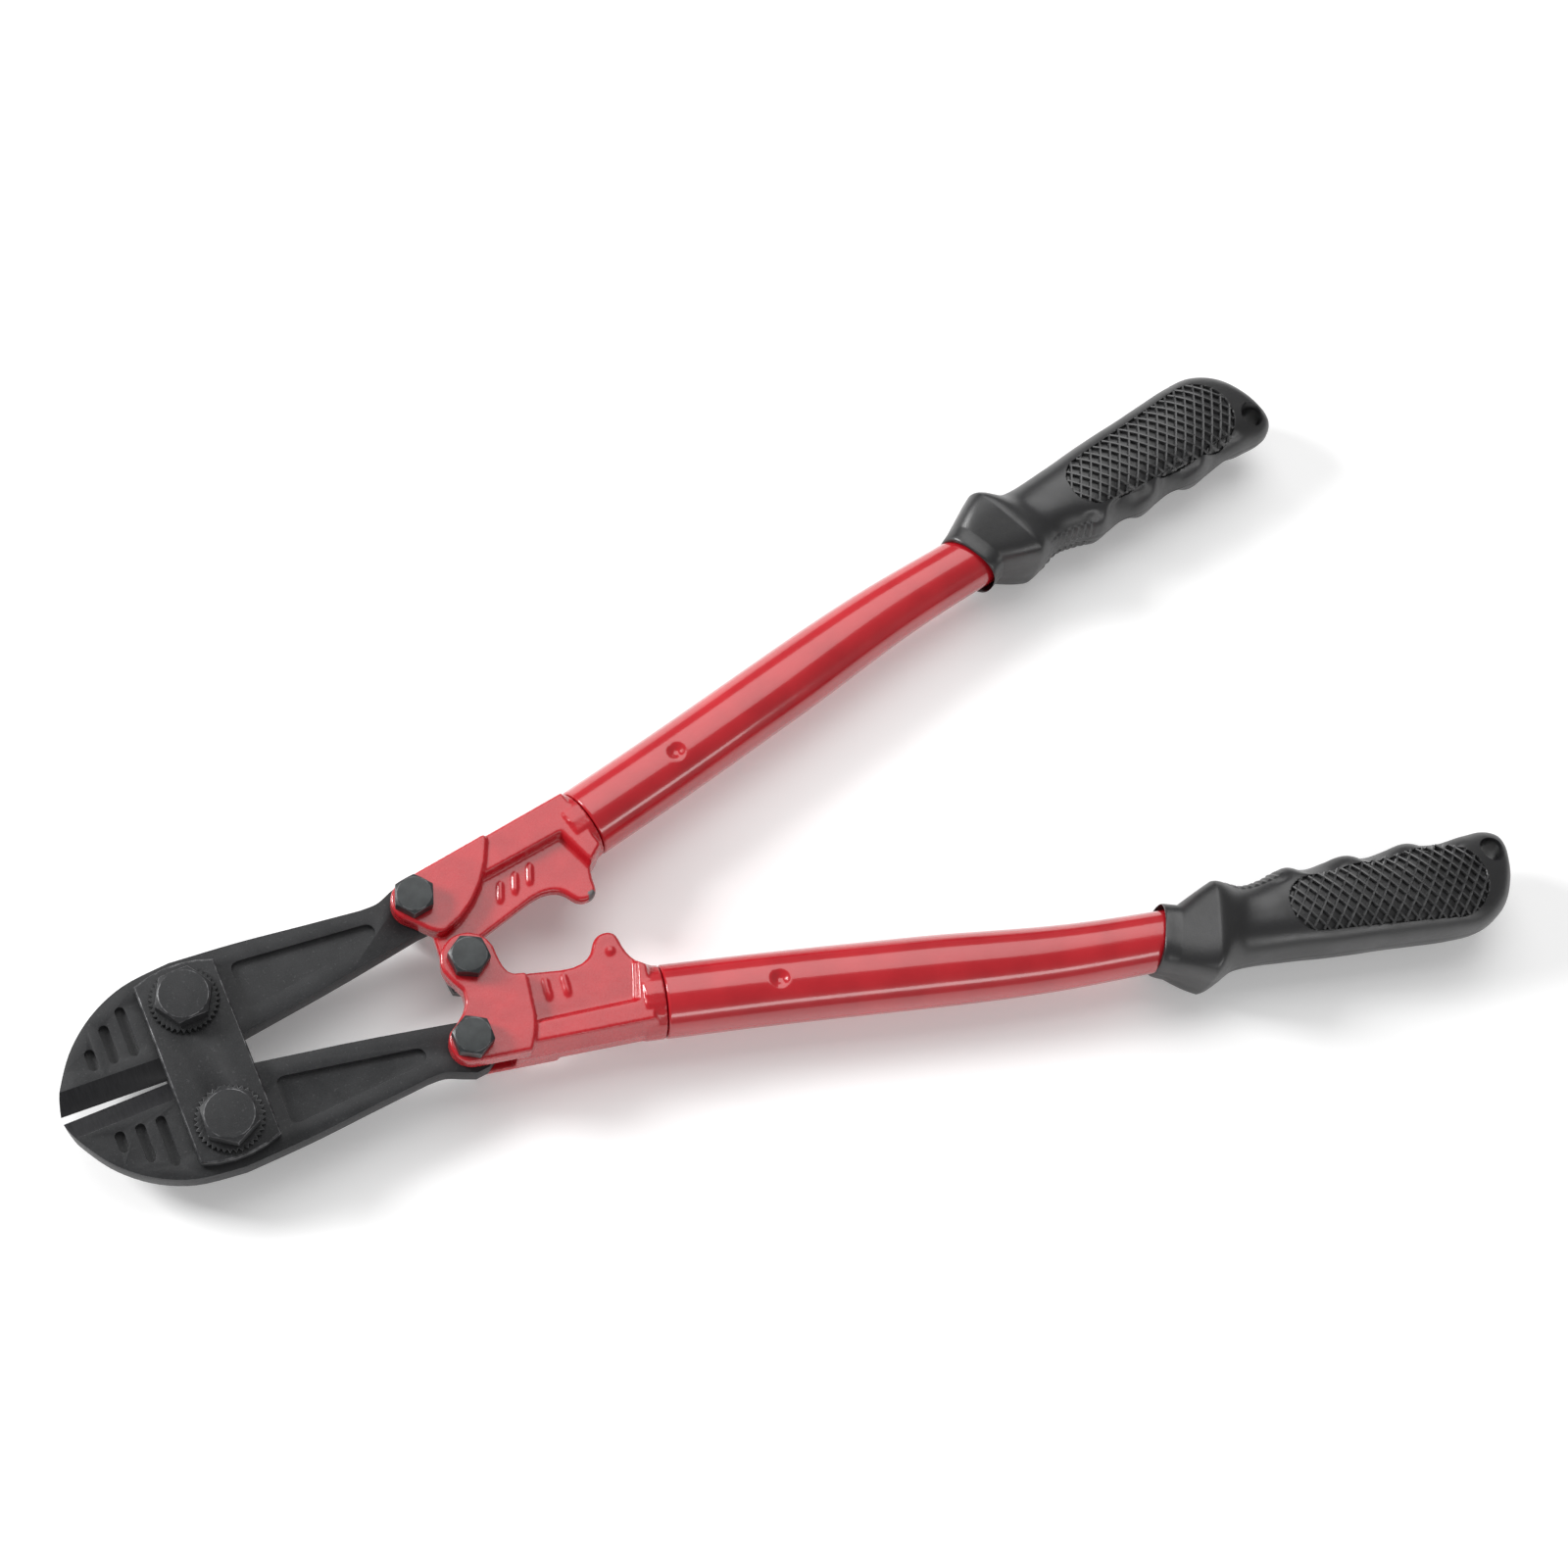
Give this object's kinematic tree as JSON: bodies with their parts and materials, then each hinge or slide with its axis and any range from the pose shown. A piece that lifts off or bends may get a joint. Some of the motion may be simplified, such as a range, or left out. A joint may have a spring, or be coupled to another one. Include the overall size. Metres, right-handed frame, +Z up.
{
  "type": "bolt cutters",
  "caption": "Compound-lever bolt cutters with bevelled jaws held by two straps, cast pivot heads with stop bumpers, tubular handles and moulded grips.",
  "frame": {"origin": "middle of the outline in plan, on the surface the tool lies on, with the handles a little way open", "axes": "+X from the blades to the grips, +Y to the upper handle, +Z up from the surface toward the bolt heads"},
  "size_m": [0.4502, 0.2118, 0.032],
  "materials": {
    "blacked_steel": "charcoal black oxide, fine grain",
    "bolt_steel": "dark smooth phosphate",
    "red_paint": "gloss red enamel",
    "black_rubber": "satin moulded"
  },
  "bodies": {
    "lower_handle": {"lower_head": "red_paint", "lower_tube": "red_paint", "lower_grip": "black_rubber", "lower_tail_bolt": "bolt_steel", "lower_tail_nut": "bolt_steel", "centre_bolt": "bolt_steel", "centre_nut": "bolt_steel", "centre_spacer": "bolt_steel"},
    "upper_handle": {"upper_head": "red_paint", "upper_tube": "red_paint", "upper_grip": "black_rubber", "upper_tail_bolt": "bolt_steel", "upper_tail_nut": "bolt_steel"},
    "lower_jaw": {"lower_jaw": "blacked_steel"},
    "straps": {"front_strap": "blacked_steel", "rear_strap": "blacked_steel", "upper_jaw_bolt": "blacked_steel", "upper_jaw_nut": "blacked_steel", "upper_front_washer": "blacked_steel", "upper_rear_washer": "blacked_steel", "lower_jaw_bolt": "blacked_steel", "lower_jaw_nut": "blacked_steel", "lower_front_washer": "blacked_steel", "lower_rear_washer": "blacked_steel"},
    "upper_jaw": {"upper_jaw": "blacked_steel"}
  },
  "joints": [
    {"name": "handle_pivot", "type": "hinge", "parent": "lower_handle", "child": "upper_handle", "pos_m": [-0.10274, 0, 0.0158], "axis": [0, 0, 1], "range_deg": [-14.8, 65]},
    {"name": "lower_jaw_pivot", "type": "hinge", "parent": "lower_handle", "child": "lower_jaw", "pos_m": [-0.11074, -0.023, 0.0158], "axis": [0, 0, 1], "range_deg": [-8.8, 38.3]},
    {"name": "strap_pivot", "type": "hinge", "parent": "lower_jaw", "child": "straps", "pos_m": [-0.18234, -0.0188, 0.0158], "axis": [0, 0, 1], "range_deg": [-5.8, 1.4]},
    {"name": "upper_jaw_pivot", "type": "hinge", "parent": "straps", "child": "upper_jaw", "pos_m": [-0.18234, 0.0188, 0.0158], "axis": [0, 0, 1], "range_deg": [-5.8, 1.4]}
  ],
  "couplings": [
    {"joint": "lower_jaw_pivot", "follows": "handle_pivot", "ratio": 0.5875},
    {"joint": "strap_pivot", "follows": "handle_pivot", "ratio": -0.0875},
    {"joint": "upper_jaw_pivot", "follows": "handle_pivot", "ratio": -0.0875}
  ]
}
